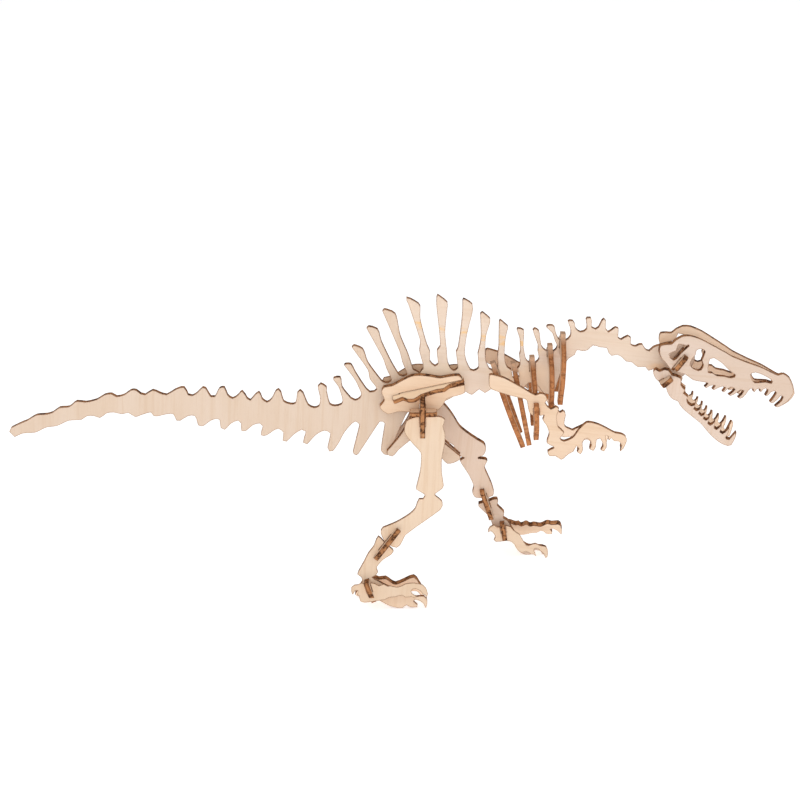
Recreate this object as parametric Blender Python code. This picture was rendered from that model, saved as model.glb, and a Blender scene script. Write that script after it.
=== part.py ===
"""Push-together plywood skeleton of a two-legged dinosaur.

Every piece is cut from the same flat sheet and joined to its neighbours by
cross-laps: each of two crossing sheets is slotted half way, from opposite
sides. Outlines are drawn in millimetres on each sheet's own plane, and the
sheets are placed from a point on the ground under the backbone, just behind
the hip cross plate: +X towards the head, +Y to the animal's left, +Z up. The
whole model is then moved by CENTRE, so that the origin is on the ground under
the middle of its bounding box.
"""
import bpy
import bmesh
from math import radians, sin, cos, ceil
from mathutils import Vector, Matrix, Euler

# ---------------------------------------------------------- shared dimensions
# Lengths are millimetres and angles degrees; each section names its own.
MM = 0.001
PLY = 2.5                     # sheet thickness
GAP = 0.3                     # play between a sheet and each side of its slot
SLOT_REACH = 8.0              # size of a slot cutter through the slotted sheet
WELD = 0.00002                # metres; closer vertices are merged
CENTRE = (10.18, -8.0, 0.0)   # moves the middle of the box over the origin

# Smoothing of outlines
SPAN = 2.4                    # longest run left straight
MAX_STEPS = 5                 # most pieces a run is split into
EASE = 0.8                    # tangent length as a share of the run
TEETH_EASE = 0.6              # tighter curves for the toothed outlines
NEIGHBOUR_LIMIT = 1.6         # tangents stay within this many neighbouring runs

HIP_X = 0.7                   # hip cross plate, centre of its thickness

UP = Vector((0, 0, 1))
FORWARD = Vector((1, 0, 0))
SIDES = (("right", -1), ("left", 1))   # name and sign of Y

# ------------------------------------------------------------- empty the file
for old in list(bpy.data.objects):
    bpy.data.objects.remove(old, do_unlink=True)

scene = bpy.context.scene
parts = bpy.data.collections.new("dinosaur_skeleton")
cutters = bpy.data.collections.new("cutters")
scene.collection.children.link(parts)
scene.collection.children.link(cutters)

# ----------------------------------------------------------------- materials
WOODS = {
    "pale": (0.83, 0.66, 0.46),
    "warm": (0.84, 0.63, 0.41),
    "shade": (0.80, 0.63, 0.44),
}
WOOD_ROUGHNESS = 0.62


def wood(name, tone):
    mat = bpy.data.materials.new(name + "_wood")
    mat.use_nodes = True
    shader = mat.node_tree.nodes["Principled BSDF"]
    shader.inputs["Base Color"].default_value = (*WOODS[tone], 1.0)
    shader.inputs["Roughness"].default_value = WOOD_ROUGHNESS
    shader.inputs["Metallic"].default_value = 0.0
    return mat


# ------------------------------------------------------------ outline helpers
def flow(points, closed=False, ease=EASE):
    """Smooth run through control points; long spans get extra points."""
    count = len(points)
    smooth = []
    for i in range(count if closed else count - 1):
        start, end = Vector(points[i]), Vector(points[(i + 1) % count])
        before = Vector(points[(i - 1) % count]) if closed or i > 0 else start
        after = Vector(points[(i + 2) % count]) if closed or i + 2 < count else end
        run = (end - start).length
        run_before, run_after = (start - before).length, (after - end).length
        smooth.append(tuple(start))
        steps = min(MAX_STEPS, ceil(run / SPAN))
        if steps < 2:
            continue
        # An open end has no neighbouring run, so its own length is the limit.
        limit_before = NEIGHBOUR_LIMIT * run_before or run
        limit_after = NEIGHBOUR_LIMIT * run_after or run
        leave = (end - before).normalized() * ease * min(run, limit_before)
        arrive = (after - start).normalized() * ease * min(run, limit_after)
        for k in range(1, steps):
            # Cubic Hermite weights
            t = k / steps
            at_start = 2 * t ** 3 - 3 * t ** 2 + 1
            at_leave = t ** 3 - 2 * t ** 2 + t
            at_end = -2 * t ** 3 + 3 * t ** 2
            at_arrive = t ** 3 - t ** 2
            smooth.append(tuple(at_start * start + at_leave * leave
                                + at_end * end + at_arrive * arrive))
    if not closed:
        smooth.append(tuple(points[-1]))
    return smooth


def ring(points, ease=EASE):
    return flow(points, closed=True, ease=ease)


def flip(points):
    return [(x, -y) for x, y in points]


def grow(points, distance):
    """Push a closed outline outwards by a fixed distance."""
    area = sum(points[i - 1][0] * point[1] - point[0] * points[i - 1][1]
               for i, point in enumerate(points))
    turn = 1.0 if area > 0 else -1.0
    grown = []
    for i, point in enumerate(points):
        before, after = Vector(points[i - 1]), Vector(points[(i + 1) % len(points)])
        arriving = (Vector(point) - before).normalized()
        leaving = (after - Vector(point)).normalized()
        outward = Vector((arriving.y + leaving.y,
                          -(arriving.x + leaving.x))).normalized() * turn
        grown.append((point[0] + outward.x * distance,
                      point[1] + outward.y * distance))
    return grown


def clipped_rectangle(left, right, bottom, top, clip):
    """Rectangle with its four corners cut off."""
    return [(left, bottom + clip), (left, top - clip),
            (left + clip, top), (right - clip, top),
            (right, top - clip), (right, bottom + clip),
            (right - clip, bottom), (left + clip, bottom)]


# ------------------------------------------------------------ placing helpers
def stand(x, y, z, rx, ry, rz):
    """Place of a sheet: where its drawing's origin goes and how it is turned."""
    turn = Euler((radians(rx), radians(ry), radians(rz)), 'XYZ').to_matrix()
    return Matrix.Translation((x, y, z)) @ turn.to_4x4()


def lengthwise(x, y, z, tilt=0, nod=0, yaw=0):
    """Upright sheet drawn with x towards the head and y up. Positive tilt
    leans the top to the right, nod lowers the front, yaw turns it to the left."""
    return stand(x, y, z, 90 + tilt, nod, yaw)


def crosswise(x, y, z, lean=0):
    """Upright sheet drawn with x to the left and y up; positive lean takes
    the top towards the head."""
    return stand(x, y, z, 90 + lean, 0, 90)


def slope(lean):
    """Up direction within a crosswise sheet."""
    return Vector((sin(radians(lean)), 0, cos(radians(lean))))


def settle(obj, matrix):
    """Move an object to its place, in metres from the model's centre."""
    obj.location = (matrix.translation + Vector(CENTRE)) * MM
    obj.rotation_euler = matrix.to_euler('XYZ')
    bpy.context.view_layer.update()


# -------------------------------------------------------------- sheet helpers
class Sheet:
    """A piece with its place in millimetres."""

    def __init__(self, obj, matrix):
        self.obj = obj
        self.matrix = matrix
        self.normal = (matrix.to_3x3() @ Vector((0, 0, 1))).normalized()
        self.origin = matrix.translation.copy()

    def point(self, x, y):
        return self.matrix @ Vector((x, y, 0.0))


def outline_mesh(name, loops, thick):
    """Flat solid from closed outlines; loops inside the first are holes."""
    curve = bpy.data.curves.new(name, 'CURVE')
    curve.dimensions = '2D'
    curve.fill_mode = 'BOTH'
    curve.extrude = thick * MM / 2
    for loop in loops:
        spline = curve.splines.new('POLY')
        spline.points.add(len(loop) - 1)
        for knot, (x, y) in zip(spline.points, loop):
            knot.co = (x * MM, y * MM, 0.0, 1.0)
        spline.use_cyclic_u = True
    drawn = bpy.data.objects.new(name + "_drawn", curve)
    parts.objects.link(drawn)
    graph = bpy.context.evaluated_depsgraph_get()
    mesh = bpy.data.meshes.new_from_object(drawn.evaluated_get(graph))
    bm = bmesh.new()
    bm.from_mesh(mesh)
    bmesh.ops.remove_doubles(bm, verts=bm.verts, dist=WELD)
    bmesh.ops.recalc_face_normals(bm, faces=bm.faces)
    bm.to_mesh(mesh)
    bm.free()
    bpy.data.objects.remove(drawn, do_unlink=True)
    bpy.data.curves.remove(curve)
    return mesh


def sheet(name, loops, matrix, tone):
    mesh = outline_mesh(name, loops, PLY)
    mesh.name = name
    mesh.materials.append(wood(name, tone))
    obj = bpy.data.objects.new(name, mesh)
    parts.objects.link(obj)
    settle(obj, matrix)
    return Sheet(obj, matrix)


def as_cutter(obj):
    for coll in list(obj.users_collection):
        coll.objects.unlink(obj)
    cutters.objects.link(obj)
    obj.hide_render = True
    obj.display_type = 'WIRE'


def subtract(target, cutter, name):
    mod = target.obj.modifiers.new(name, 'BOOLEAN')
    mod.operation = 'DIFFERENCE'
    mod.solver = 'EXACT'
    mod.object = cutter


def slot(target, mate, start, along, length):
    """Slot in target for mate: from start, along the crossing line."""
    along = along.normalized()
    through = along.cross(mate.normal).normalized()
    bpy.ops.mesh.primitive_cube_add(size=1.0)
    box = bpy.context.active_object
    box.name = "cut_" + target.obj.name + "_for_" + mate.obj.name
    box.data.transform(Matrix.Diagonal((length * MM, (PLY + 2 * GAP) * MM,
                                        SLOT_REACH * MM, 1.0)))
    turn = Matrix((along, mate.normal, through)).transposed()
    settle(box, Matrix.Translation(start + along * length / 2) @ turn.to_4x4())
    as_cutter(box)
    subtract(target, box, "slot_for_" + mate.obj.name)


def lap(first, second, near, opens, first_cut=14.0, second_cut=14.0):
    """Cross-lap of two sheets. The first is slotted from the middle of the
    lap towards 'opens', the second from the middle the other way. The cuts
    are the lengths of the two slot cutters."""
    along = first.normal.cross(second.normal).normalized()
    if along.dot(opens) < 0:
        along = -along
    middle = Vector(near)
    # Move to the nearest point that lies on both mid planes
    facing = first.normal.dot(second.normal)
    off_first = (first.origin - middle).dot(first.normal)
    off_second = (second.origin - middle).dot(second.normal)
    by_first = (off_first - facing * off_second) / (1 - facing * facing)
    by_second = (off_second - facing * off_first) / (1 - facing * facing)
    middle = middle + first.normal * by_first + second.normal * by_second
    slot(first, second, middle - along * GAP / 2, along, first_cut)
    slot(second, first, middle + along * GAP / 2, -along, second_cut)


# ------------------------------------------------------------------ backbone
# Drawn from the ground: x towards the head, y up.
BACKBONE_PLANE = lengthwise(0, 0, 0)

# Where tail and trunk meet: a jigsaw knob on the trunk, between the ilia.
SEAM = flow([(-0.6, 117.6), (-1.4, 115.0), (-2.6, 112.9), (-4.6, 112.2),
             (-6.2, 113.4), (-8.2, 114.0), (-10.6, 112.9), (-11.4, 110.6),
             (-10.4, 108.3), (-8.2, 107.4), (-6.0, 107.8), (-4.6, 109.2),
             (-2.8, 108.2), (-3.2, 104.5), (-3.4, 101.0)])
# Rest of the seam cutter's outline, round the trunk side
SEAM_CUTTER_BACKING = [(-3.4, 92.0), (8.0, 92.0), (8.0, 126.0), (1.5, 126.0),
                       (0.2, 119.4)]

# From the tip of the tail to the hip
TAIL_TOP = [
    (-211, 86), (-210, 88), (-204, 91), (-201.5, 92), (-196.5, 95), (-191, 95.5),
    (-188, 96.5), (-184.5, 99), (-179.5, 99.5), (-175.5, 102.5), (-171, 102),
    (-165, 103.5), (-161, 106), (-157.5, 106.5), (-155, 105), (-151, 106),
    (-147.5, 108.5), (-145, 108.5), (-142.5, 106.5), (-140.5, 106), (-136.5, 108.5),
    (-133, 107), (-129.5, 106), (-125.5, 108.5), (-120.5, 110), (-118.5, 106),
    (-116.5, 105.5), (-114, 107), (-111, 110), (-109.5, 109.5), (-107, 105),
    (-105, 105), (-102.5, 109.5), (-100, 110), (-98.5, 106), (-96, 104),
    (-93, 106), (-91, 108), (-88.5, 104), (-87, 103), (-82.5, 107.5),
    # low spines, growing taller and leaning back towards the hip
    (-81, 104), (-78.5, 102), (-76, 104), (-72.5, 109), (-70, 102.5), (-66.5, 101),
    (-64, 101.5), (-63, 107), (-61.5, 108.5), (-60, 107), (-57.5, 100.5),
    (-54.5, 99), (-52, 100), (-51.5, 105), (-52.5, 110.5), (-51, 112), (-48, 110),
    (-48, 107.5), (-46.5, 101), (-44, 100), (-40.5, 101), (-40, 103.5),
    (-42, 110.5), (-44.5, 114), (-44.5, 115), (-41, 115.5), (-40, 110),
    (-35.5, 104), (-33.5, 103), (-31, 104.5), (-30.5, 107), (-33.5, 114),
    (-39, 122), (-38.5, 122.5), (-35.5, 122.5), (-33.5, 118.5), (-29, 111),
    (-26, 107.5), (-22.5, 109), (-26, 114.5), (-27, 119.5), (-35, 131.5),
    (-34, 132.5), (-29.5, 130.5), (-27, 123.5), (-23, 117.5), (-19.5, 113),
    (-17, 112.5), (-15, 114), (-17.5, 120), (-19.5, 126), (-27.5, 141.5),
    (-26.5, 142.5), (-22, 141), (-20, 134.5), (-15, 123.5), (-11, 116.5),
    (-9, 116), (-7, 117), (-9.5, 123.5), (-11, 129.5), (-19.5, 150.5),
    (-18.5, 151.5), (-13, 149), (-10.5, 137.5), (-6.5, 127.5), (-4, 119.5),
    (-2.4, 118.8), (0, 117),
]
# From the hip back to the tip
TAIL_UNDER = [
    (0, 101), (-4.5, 99), (-8, 94.5), (-17, 73), (-20.5, 75.5), (-18.5, 90.5),
    (-21, 91.5), (-31, 75.5), (-33, 73), (-35, 74.5), (-31.5, 89.5), (-33.5, 91.5),
    (-36.5, 89), (-39.5, 85), (-42, 80), (-45, 75.5), (-47, 75), (-48, 77),
    (-46.5, 85), (-49.5, 86.5), (-54, 84), (-58.5, 79), (-60.5, 80), (-59, 86),
    (-61, 87), (-65, 84.5), (-69, 80.5), (-71, 81), (-70.5, 85.5), (-73, 87.5),
    (-75.5, 86.5), (-79, 84), (-82, 84), (-81, 89), (-82.5, 90.5), (-86, 89.5),
    (-89.5, 86.5), (-92, 86.5), (-92, 90.5), (-93.5, 92), (-97, 90.5),
    (-100.5, 87), (-102.5, 88), (-103, 92.5), (-104.5, 93), (-107.5, 92),
    (-111.5, 89), (-114, 89.5), (-115.5, 94.5), (-119, 94.5), (-123, 92),
    (-125, 92), (-126.5, 95.5), (-130, 95.5), (-134, 94.5), (-136.5, 94.5),
    (-138, 96.5), (-143, 95), (-146, 94), (-149.5, 96.3), (-152.5, 95.5),
    (-157, 96.5), (-160.5, 96), (-164, 93.5), (-167, 94.5), (-170.5, 94.5),
    (-173.5, 92.5), (-180, 92), (-186.5, 89), (-191, 88.5), (-193.5, 87.5),
    (-197.5, 85.5), (-204, 85), (-208.5, 83),
]
# From the hip along the back and round the front of the neck
TRUNK_TOP = [
    (-0.6, 117.6), (0, 119), (1, 120), (1, 122), (-0.5, 127.5), (-1, 130),
    # eight tall spines of the back
    (-0.5, 134.5), (-3, 143), (-6.5, 154), (-7.5, 157.5), (-1.5, 154.5),
    (-0.5, 153), (-0.5, 146.5), (1, 139.5), (3, 132.5), (4.5, 129), (4.5, 124),
    (7, 121.5), (8.5, 122.5), (8, 127.5), (8, 130), (9.5, 132), (9, 139.5),
    (7.5, 153), (7.5, 157.5), (8, 159), (13, 155), (13, 152), (12, 139.5),
    (13, 129), (13.5, 123.5), (15, 120), (16.5, 119), (18.5, 120.5),
    (17.5, 129), (18.5, 131), (19.5, 138.5), (20.5, 149.5), (20.5, 156),
    (21, 157), (25.5, 154), (25.5, 149.5), (23, 138.5), (22, 129), (23, 123.5),
    (25, 119.5), (26.5, 119), (29, 120.5), (28.5, 128), (29, 130), (30, 136.5),
    (29.5, 149), (30.5, 150), (34.5, 146.5), (34.5, 144.5), (32.5, 137),
    (32.5, 125.5), (34.5, 120), (37, 119.3), (38.8, 121), (38.5, 127),
    (39, 131.5), (39, 137), (39, 145), (39.5, 146), (43.5, 142.5), (43.5, 141.5),
    (42.5, 137), (42, 129), (42.5, 124), (43.5, 121), (46, 119.5), (48.8, 120.3),
    (50, 122.5), (49.5, 127.5), (50, 129.5), (49.5, 136), (48, 140.5),
    (48.3, 141.5), (51.5, 140.5), (51.5, 132.5), (53, 125), (54.8, 123.2),
    (58, 123.5), (59.5, 125.5), (58.8, 129), (58.8, 132.5), (57.5, 136),
    (56, 140.5), (57, 141.5), (59.2, 140), (59.7, 137), (60.7, 132),
    (63, 129.6), (67, 129.6), (68.5, 132), (67.2, 135), (65.8, 139),
    (62.8, 142), (63.3, 143), (66, 143), (67, 142), (67.5, 139.5), (69, 136),
    (71.5, 134.8), (74, 136),
    # neck spines, lower and closer
    (75, 137.5), (75, 140.5), (73.8, 144), (73.5, 145), (74.3, 145.6),
    (76, 145.4), (77, 144), (77.5, 141.5), (80, 139.5), (83, 141), (82.5, 146),
    (83, 147), (85, 147), (85.5, 145.5), (85.5, 142), (87.5, 141), (89, 142),
    (90.5, 145.5), (91.5, 146.5), (92.5, 145.5), (92.5, 142), (94, 139.5),
    (95.5, 140.5), (97.5, 142), (99, 141.5), (99, 136.5), (100.5, 135.5),
    (102, 136.5), (104, 137.5), (105.5, 136.5), (105.5, 133), (108, 132),
    (110, 133), (111.5, 133), (112, 132), (113.5, 130), (115, 129.5),
    (117, 131.5), (120.5, 132.8), (126, 134), (133, 133), (137.5, 129),
    (138, 124), (134.5, 118), (129.5, 113.5), (125.5, 111.5), (122, 111.8),
    (119.8, 114.5), (120.8, 118),
]
# From the throat back to the foot of the seam
TRUNK_UNDER = [
    (118.5, 120.3), (115, 119), (113.5, 121), (109.5, 121), (106.5, 123.5),
    (103.5, 124), (101.5, 126), (99, 127.5), (96, 127), (94.5, 128.5),
    (93.5, 131), (90, 131.5), (86.5, 132.5), (84, 130), (81, 129.5),
    (78.5, 130), (77.5, 127.5), (74.5, 125.5), (71, 119), (69, 112),
    (67, 106.8), (62.5, 106.8), (60, 110), (57.8, 112.3), (54.5, 112.5),
    (52.5, 110), (46, 109), (35.5, 109), (32.5, 107), (29.5, 109), (26, 106),
    (21.5, 108), (14, 103.5), (7, 101), (-3.4, 101.0),
]

tail = sheet("spine_tail", [flow(TAIL_TOP) + flow(TAIL_UNDER)],
             BACKBONE_PLANE, "pale")
# The seam's end points are shared with the trunk's outline, so one copy goes.
trunk = sheet("spine_trunk_and_neck",
              [flow(TRUNK_TOP) + flow(TRUNK_UNDER)[:-1] + SEAM[::-1][:-1]],
              BACKBONE_PLANE, "pale")


def cut_seam():
    """Clear the tail sheet for the trunk and its knob."""
    name = "cut_tail_for_trunk"
    mesh = outline_mesh(name, [grow(SEAM + SEAM_CUTTER_BACKING, GAP)], 3 * PLY)
    cutter = bpy.data.objects.new(name, mesh)
    parts.objects.link(cutter)
    settle(cutter, BACKBONE_PLANE)
    as_cutter(cutter)
    subtract(tail, cutter, "seam_with_trunk")


cut_seam()

# --------------------------------------------------------------------- ribs
# Transverse arches that drop over the backbone. Columns: x and z of the crown;
# lean; depth of the lap's middle under the crown; drop of the arms below that
# middle; half spacing of the arm tips; half width of the arch. The rib without
# a half width has ledges for the arm sheets.
RIBS = {
    "rib_1": (36.1, 123.3, -20.5, 7.4, 37.5, 9.5, 17.2),
    "rib_2": (46.5, 123.3, -11.7, 7.8, 34.0, 9.5, 17.2),
    "rib_3": (56.0, 126.5, -3.3, 7.8, 33.5, 9.5, None),
    "rib_4": (64.9, 132.8, -1.1, 6.2, 27.5, 11.0, 16.2),
    "rib_5": (71.3, 138.9, 2.1, 7.8, 27.0, 9.0, 15.6),
}
RIB_LEDGE = -9.6         # height of the ledges from the lap's middle
RIB_TIP_HALF = 1.9       # half width of an arm's tip
RIB_TIP_RISE = 0.6       # its inner corner sits this much higher
RIB_SLOT_SPARE = 2.5     # the trunk's slot cutter reaches this far above the crown
RIB_PRONG = [(4.2, -2.3), (3.4, -2.6)]   # inner corner beside the backbone


def rib_half(depth, drop, tip, bulge):
    """Left half of a rib, from the crown round the arm to the backbone."""
    outer = [(2.2, depth), (2.7, depth - 2.0), (5.0, depth - 3.3)]
    inner = [(tip - RIB_TIP_HALF, -drop + RIB_TIP_RISE)]
    if bulge is None:
        outer += [(10, 1.6), (14.0, -2.6), (16.4, -6.0), (17.3, -8.4),
                  (19.5, RIB_LEDGE - 0.3), (23.2, RIB_LEDGE),
                  (23.9, RIB_LEDGE - 2.2), (23.5, -16.5), (21.3, -22.5),
                  (16.8, -28.5)]
        inner += [(13.2, -26.8), (17.0, -21.5), (17.6, -17.0), (15.6, -12.5),
                  (12.6, -8.4), (9.0, -5.2)]
    else:
        outer += [(9.5, depth - 6.0), (14.0, -2.4), (bulge, -drop * 0.36),
                  (bulge * 0.98, -drop * 0.56), (bulge * 0.8, -drop * 0.8)]
        inner += [(bulge * 0.8 - 4.4, -drop * 0.77), (bulge - 4.7, -drop * 0.54),
                  (bulge - 4.9, -drop * 0.34), (9.6, -4.6), (7.0, -3.0)]
    outer.append((tip + RIB_TIP_HALF, -drop))
    return flow(outer) + flow(inner) + RIB_PRONG


def rib(name, crown_x, crown_z, lean, depth, drop, tip, bulge):
    half = rib_half(depth, drop, tip, bulge)
    mirrored = [(-x, y) for x, y in reversed(half)]
    middle = Vector((crown_x, 0, crown_z)) - depth * slope(lean)
    piece = sheet(name, [half + mirrored],
                  crosswise(middle.x, 0, middle.z, lean), "warm")
    lap(trunk, piece, middle, UP, first_cut=depth + RIB_SLOT_SPARE, second_cut=8)
    return piece


ribs = {name: rib(name, *sizes) for name, sizes in RIBS.items()}

# --------------------------------------------------------------------- arms
# Shoulder blade, upper arm, forearm and hand are one sheet a side, drawn from
# (ARM_X, ARM_Z). Both sides share the blade's edges.
ARM_X, ARM_Z = 60, 105
ARM_Y = 20.0                      # half spacing of the sheets
ARM_LAP_X, ARM_LAP_Z = 57, 106.0  # lap with the ledged rib

BLADE_TOP = [
    (-26.5, 18.5), (-25.5, 19), (-19, 17), (-11, 12.5), (-3.5, 8), (-1, 9),
    (1, 8.5), (2.5, 6),
]
BLADE_UNDER = [
    (-2.5, -3.2), (-5, -2.5), (-6.5, -0.5), (-7.5, 5), (-8.5, 6), (-16.5, 8),
    (-25, 11), (-26.5, 13),
]
ARM_RIGHT = [
    (1.5, 4), (4.5, 0.5), (7, 2), (8.5, 1), (7.5, -3),
    (8.5, -9), (11.5, -12), (9.5, -15), (11.5, -16.5), (16, -14.5), (19, -10),
    (22.5, -6.5), (25, -6.5), (28.5, -7.5), (32.5, -9.5), (37, -12),
    (40, -12.5), (42.5, -14), (43, -16.5), (41.5, -20.5), (40, -22),
    (40.6, -18.8), (39, -16.6), (36.6, -16.4), (35.2, -14.8), (34, -16.2),
    (33.6, -13.8), (32.2, -13.2), (33, -17.5), (33, -20), (31.8, -22),
    (30.2, -21.3), (31.4, -19), (30.6, -16.8), (29.6, -15), (27.9, -15.6),
    (27.6, -19.5), (26.4, -21.7), (24.5, -20.8), (25.4, -18.6), (24.9, -16.4),
    (23.6, -15), (22, -15.2), (20.8, -17), (21.2, -21), (20, -23.5),
    (18.3, -22.3), (19.2, -20.4), (18, -19), (16.5, -22), (14, -23.5),
    (12.5, -25), (10.5, -26.5), (7.5, -24.5), (4.5, -24.5), (3.5, -22),
    (6.6, -20.3), (6.4, -19.3), (3, -17.5), (4, -12.5), (2.5, -8), (0.5, -5),
    (1.3, -2.4), (-0.5, -2.8),
]
# The left arm reaches lower, with the forearm turned down.
ARM_LEFT = [
    (3.5, 3), (6.5, -2), (9, -8), (10.5, -13.2), (12, -15.3),
    (13, -16), (14.5, -15), (15.7, -16), (16, -17.5), (15.7, -19.5),
    (15.4, -21.5), (15.6, -23.3), (16.6, -24.5), (18, -25), (19.8, -25.9),
    (21.5, -25), (23.5, -24), (26, -22.8), (29.4, -23.2), (34.7, -24.9),
    (41.1, -27.4), (46.5, -29.7), (47.3, -32.5), (46, -36.4), (45.2, -35.5),
    (45.4, -32.5), (43.3, -30.2), (39, -29.9), (37.9, -33), (37.1, -37.3),
    (35.8, -35.9), (36.1, -31.9), (34.2, -29.9), (32.4, -30.2), (31.5, -32.5),
    (30.4, -37), (29.1, -35.9), (29.6, -32.5), (27.8, -31.1), (26, -31.4),
    (25.1, -33.6), (24, -37.8), (22.7, -37), (23, -33), (21.9, -30.4),
    (20.3, -29.3), (18.2, -29.6), (15.5, -29.9), (13.9, -29.4), (11.7, -27.4),
    (10.7, -23.4), (9.1, -17.8), (6, -10), (2, -5), (-0.5, -3),
]


def arm(side, sign, outline, tone):
    piece = sheet("shoulder_and_arm_" + side,
                  [ring(BLADE_TOP + outline + BLADE_UNDER)],
                  lengthwise(ARM_X, sign * ARM_Y, ARM_Z), tone)
    lap(piece, ribs["rib_3"], (ARM_LAP_X, sign * ARM_Y, ARM_LAP_Z), -UP,
        first_cut=12, second_cut=6)


arm("right", -1, ARM_RIGHT, "pale")
arm("left", 1, ARM_LEFT, "shade")

# ----------------------------------------------------------- hip cross plate
HIP_Z = 100.0            # height its outline is drawn from
HIP_TRUNK_LAP_Z = 104.6

# x to the left, y up
HIP_CROSS = [
    (16.0, 6.2), (15.2, 7.0), (11.2, 7.0), (8.4, 8.3), (-8.4, 8.3),
    (-11.2, 7.0), (-15.2, 7.0), (-16.0, 6.2), (-16.0, -11.5), (-15.2, -12.3),
    (-8.4, -12.3), (-7.6, -11.4), (-7.2, -8.8), (-6.4, -8.0), (6.4, -8.0),
    (7.2, -8.8), (7.6, -11.4), (8.4, -12.3), (15.2, -12.3), (16.0, -11.5),
]
hip_cross = sheet("hip_cross_plate", [HIP_CROSS], crosswise(HIP_X, 0, HIP_Z), "warm")
lap(trunk, hip_cross, (HIP_X, 0, HIP_TRUNK_LAP_Z), -UP, first_cut=10, second_cut=10)

# ------------------------------------------------------------------- pelvis
ILIUM_Y = 8.0            # half spacing of the ilia at ILIUM_TOP
ILIUM_TOP = 119.0        # height the ilium is drawn from
ILIUM_LEAN = 10.0        # tops lean outwards
ILIUM_LAP_Y, ILIUM_LAP_Z = 5.2, 103.2
FIN_ON_ILIUM = (0, -8.5)         # fin's origin, on the ilium's drawing
FIN_LAP = (-10.8, -11.3)         # lap of fin and ilium, on the same drawing
FIN_DROP = 20.0          # fins slope down towards the outside
FIN_RISE = 14.4          # and rise towards the front
PUBIS_Y = 3.8            # half spacing of the hip prongs at the cross plate
PUBIS_YAW = 6.0          # their fronts turn inwards
PUBIS_LAP_Z = 94.6
SPACER_Y, SPACER_Z = 11.3, 100.05
SPACER_LAP_Y = 11.5

# x forward, y up the leaning sheet
ILIUM = [
    (-20, -8.5), (-19, -6.5), (-14.5, -5.5), (-10.5, -3), (-5, 0), (-1, 0.5),
    (4, 0), (9.5, -1), (14.5, 0), (19, 0.3), (20.5, -1.8), (21.5, -4),
    (22, -6.5), (22, -9.5), (19, -11), (13, -13), (11, -17), (7.5, -20.5),
    (1.5, -21.5), (-5, -21), (-11.5, -20.5), (-17, -22), (-20.5, -19),
    (-21, -17.5), (-18.5, -14), (-20, -10),
]
# Right-hand fin: x forward, y to the left
FIN = [
    (-14.5, -4.5), (-10, -3.5), (-7.5, -6), (-4, -7), (-0.5, -5), (3, -4.5),
    (8, -4), (11.5, -4.5), (14.5, -2.4), (18.5, -1.9), (21.6, -1.7), (22.2, 0),
    (21.4, 2.2), (10, 2.3), (0, 2.3), (-11.5, 2.2), (-13.4, 1.2), (-14.8, -1.5),
]
# Ischium behind and pubis in front: x from the cross plate, y from the ground
PRONGS = [
    (-5.7, 97), (-8.2, 91), (-12.7, 84), (-18.2, 77.5), (-18.2, 75.8), (-15.5, 74.5),
    (-12.2, 78), (-8.7, 81), (-5.2, 84), (-2.2, 88.5), (0, 90), (2.4, 88.5),
    (5.8, 80), (8.8, 74), (10.3, 72), (12.8, 69.3), (16.3, 69.6), (19.4, 71.3),
    (19.8, 72.8), (11.3, 80.5), (8.8, 84), (6.3, 92), (5.8, 97),
]
# Right-hand spacer, lying flat: x forward, y to the left
SPACER = [
    (-5.8, -2.6), (-5.8, 2.0), (-5.0, 2.8), (7.0, 2.8), (8.0, 1.6), (8.0, -1.4),
    (7.2, -2.6), (5.8, -3.0), (-5.2, -3.0),
]


def ilium_and_fin(side, sign, tone):
    ilium = sheet("ilium_" + side, [ring(ILIUM)],
                  lengthwise(0, sign * ILIUM_Y, ILIUM_TOP, tilt=-sign * ILIUM_LEAN),
                  tone)
    lap(ilium, hip_cross, (HIP_X, sign * ILIUM_LAP_Y, ILIUM_LAP_Z), -UP,
        first_cut=8, second_cut=8)

    fin_at = ilium.point(*FIN_ON_ILIUM)
    fin = sheet("ilium_fin_" + side, [ring(FIN if sign < 0 else flip(FIN))],
                stand(*fin_at, -sign * FIN_DROP, -FIN_RISE, 0), tone)
    lap(ilium, fin, ilium.point(*FIN_LAP), FORWARD, first_cut=38, second_cut=7)


def hip_prongs(side, sign, tone):
    prongs = sheet("ischium_and_pubis_" + side, [flow(PRONGS)],
                   lengthwise(HIP_X, sign * PUBIS_Y, 0, yaw=-sign * PUBIS_YAW), tone)
    lap(prongs, hip_cross, (HIP_X, sign * PUBIS_Y, PUBIS_LAP_Z), UP,
        first_cut=6, second_cut=6)


def hip_spacer(side, sign):
    spacer = sheet("hip_spacer_" + side, [SPACER if sign < 0 else flip(SPACER)],
                   stand(0, sign * SPACER_Y, SPACER_Z, 0, 0, 0), "warm")
    lap(spacer, hip_cross, (HIP_X, sign * SPACER_LAP_Y, SPACER_Z),
        Vector((0, sign, 0)), first_cut=6, second_cut=3.7)


for side, sign in SIDES:
    ilium_and_fin(side, sign, "warm" if sign < 0 else "shade")
    hip_prongs(side, sign, "pale" if sign < 0 else "shade")
    hip_spacer(side, sign)

# --------------------------------------------------------------------- legs
# Each leg is two sheets in one plane, cut to a walking stride and drawn from
# LEG_Z: x forward, y up the leaning plane.
LEG_Y = 13.0             # half spacing of the legs at LEG_Z
LEG_Z = 91.0
LEG_LAP_Z = 93.4
RIGHT_SPLAY = 10.5       # feet stand wider than the hips
LEFT_SPLAY = 14.0
JOINER_HALF_WIDTH = 4.6
JOINER_CLIP = 0.6

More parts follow.
